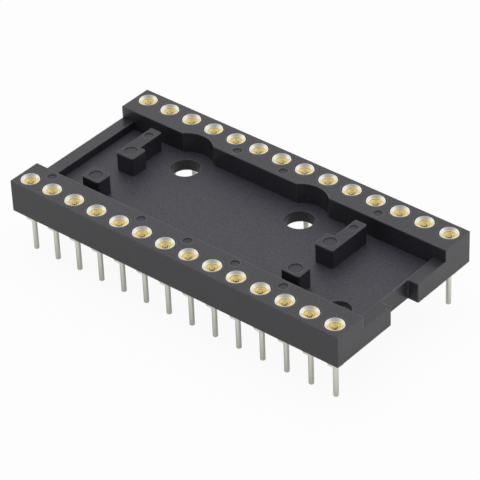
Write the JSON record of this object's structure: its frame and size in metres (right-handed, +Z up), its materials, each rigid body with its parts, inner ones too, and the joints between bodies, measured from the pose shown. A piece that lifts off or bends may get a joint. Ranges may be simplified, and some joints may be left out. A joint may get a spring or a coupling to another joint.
{
  "type": "ic socket",
  "caption": "Open-frame dual-row chip socket: black moulded body with turned, tin-plated pin sleeves and gold-plated spring clips.",
  "frame": {"origin": "centre of the contact grid, at the level of the solder tails' tips", "axes": "+X along the rows towards the index notch, +Y towards the row that starts with contact 1, +Z up out of the board"},
  "size_m": [0.0354, 0.0178, 0.0074],
  "materials": {
    "insulator": "moulded glass-filled polyester, satin black",
    "tin_plate": "bright tin plate over turned brass",
    "gold_plate": "gold plate over formed spring copper alloy"
  },
  "bodies": {
    "root": {"insulator_body": "insulator", "contact_sleeve_01": "tin_plate", "contact_sleeve_02": "tin_plate", "contact_sleeve_03": "tin_plate", "contact_sleeve_04": "tin_plate", "contact_sleeve_05": "tin_plate", "contact_sleeve_06": "tin_plate", "contact_sleeve_07": "tin_plate", "contact_sleeve_08": "tin_plate", "contact_sleeve_09": "tin_plate", "contact_sleeve_10": "tin_plate", "contact_sleeve_11": "tin_plate", "contact_sleeve_12": "tin_plate", "contact_sleeve_13": "tin_plate", "contact_sleeve_14": "tin_plate", "contact_sleeve_15": "tin_plate", "contact_sleeve_16": "tin_plate", "contact_sleeve_17": "tin_plate", "contact_sleeve_18": "tin_plate", "contact_sleeve_19": "tin_plate", "contact_sleeve_20": "tin_plate", "contact_sleeve_21": "tin_plate", "contact_sleeve_22": "tin_plate", "contact_sleeve_23": "tin_plate", "contact_sleeve_24": "tin_plate", "contact_sleeve_25": "tin_plate", "contact_sleeve_26": "tin_plate", "contact_sleeve_27": "tin_plate", "contact_sleeve_28": "tin_plate", "spring_clip_01": "gold_plate", "spring_clip_02": "gold_plate", "spring_clip_03": "gold_plate", "spring_clip_04": "gold_plate", "spring_clip_05": "gold_plate", "spring_clip_06": "gold_plate", "spring_clip_07": "gold_plate", "spring_clip_08": "gold_plate", "spring_clip_09": "gold_plate", "spring_clip_10": "gold_plate", "spring_clip_11": "gold_plate", "spring_clip_12": "gold_plate", "spring_clip_13": "gold_plate", "spring_clip_14": "gold_plate", "spring_clip_15": "gold_plate", "spring_clip_16": "gold_plate", "spring_clip_17": "gold_plate", "spring_clip_18": "gold_plate", "spring_clip_19": "gold_plate", "spring_clip_20": "gold_plate", "spring_clip_21": "gold_plate", "spring_clip_22": "gold_plate", "spring_clip_23": "gold_plate", "spring_clip_24": "gold_plate", "spring_clip_25": "gold_plate", "spring_clip_26": "gold_plate", "spring_clip_27": "gold_plate", "spring_clip_28": "gold_plate"}
  },
  "joints": []
}
